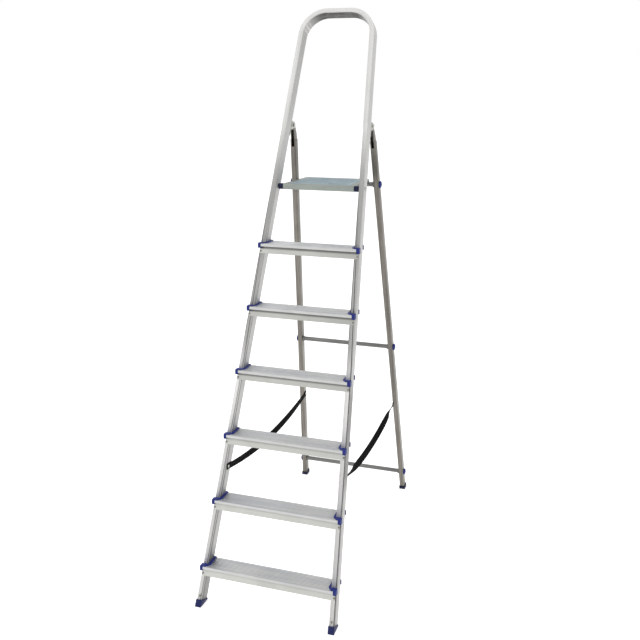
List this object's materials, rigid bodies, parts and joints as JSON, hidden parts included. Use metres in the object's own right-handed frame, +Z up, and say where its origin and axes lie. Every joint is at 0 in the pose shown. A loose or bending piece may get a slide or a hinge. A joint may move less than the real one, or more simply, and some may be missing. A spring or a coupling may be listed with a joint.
{
  "type": "platform step ladder",
  "caption": "Folding step ladder with a one-piece tapered tube frame and hand rail, ribbed treads, a hinged platform and swing-in rear legs.",
  "frame": {"origin": "on the floor, at the middle of the ladder's footprint when it stands open", "axes": "+X to the climber's right, +Y from the treads to the rear legs, +Z up"},
  "size_m": [0.5134, 1.1342, 2.0412],
  "materials": {
    "polished_aluminium": "polished extrusion",
    "ribbed_aluminium": "satin extrusion",
    "leg_aluminium": "brushed",
    "coated_panel": "ribbed coated sheet",
    "blue_plastic": "moulded",
    "navy_plastic": "moulded",
    "webbing": "woven webbing",
    "zinc_steel": "zinc plated",
    "black_steel": "blackened"
  },
  "bodies": {
    "front_frame": {"boot_rivet_left": "zinc_steel", "boot_rivet_right": "zinc_steel", "front_boot_left": "blue_plastic", "front_boot_right": "blue_plastic", "front_hoop": "polished_aluminium", "hinge_bracket_left": "zinc_steel", "hinge_bracket_right": "zinc_steel", "hinge_pin_left": "zinc_steel", "hinge_pin_right": "zinc_steel", "platform_bolt_left": "zinc_steel", "platform_bolt_right": "zinc_steel", "platform_washer_left": "black_steel", "platform_washer_right": "black_steel", "strap_bolt_front_left": "zinc_steel", "strap_bolt_front_right": "zinc_steel", "strap_left": "webbing", "strap_right": "webbing", "tread_1": "ribbed_aluminium", "tread_2": "ribbed_aluminium", "tread_3": "ribbed_aluminium", "tread_4": "ribbed_aluminium", "tread_5": "ribbed_aluminium", "tread_6": "ribbed_aluminium", "tread_cap_1_left": "blue_plastic", "tread_cap_1_right": "blue_plastic", "tread_cap_2_left": "blue_plastic", "tread_cap_2_right": "blue_plastic", "tread_cap_3_left": "blue_plastic", "tread_cap_3_right": "blue_plastic", "tread_cap_4_left": "blue_plastic", "tread_cap_4_right": "blue_plastic", "tread_cap_5_left": "blue_plastic", "tread_cap_5_right": "blue_plastic", "tread_cap_6_left": "blue_plastic", "tread_cap_6_right": "blue_plastic"},
    "rear_frame": {"crossbar_cap_high_left": "blue_plastic", "crossbar_cap_high_right": "blue_plastic", "crossbar_cap_low_left": "blue_plastic", "crossbar_cap_low_right": "blue_plastic", "crossbar_cap_middle_left": "blue_plastic", "crossbar_cap_middle_right": "blue_plastic", "crossbar_high": "leg_aluminium", "crossbar_low": "leg_aluminium", "crossbar_middle": "leg_aluminium", "rear_boot_left": "navy_plastic", "rear_boot_right": "navy_plastic", "rear_leg_left": "leg_aluminium", "rear_leg_right": "leg_aluminium", "strap_bolt_rear_left": "zinc_steel", "strap_bolt_rear_right": "zinc_steel"},
    "platform": {"platform_bush_left": "navy_plastic", "platform_bush_right": "navy_plastic", "platform_clip_left": "navy_plastic", "platform_clip_right": "navy_plastic", "platform_deck": "ribbed_aluminium", "platform_panel": "coated_panel"}
  },
  "joints": [
    {"name": "legs_fold", "type": "hinge", "parent": "front_frame", "child": "rear_frame", "pos_m": [0, 0.18684, 1.622], "axis": [-1, 0, 0], "range_deg": [0, 35], "deforming": ["strap_left", "strap_right"]},
    {"name": "platform_fold", "type": "hinge", "parent": "front_frame", "child": "platform", "pos_m": [0, 0.04876, 1.409], "axis": [1, 0, 0], "range_deg": [0, 67.4]}
  ],
  "couplings": [
    {"joint": "platform_fold", "follows": "legs_fold", "ratio": 1.923}
  ]
}
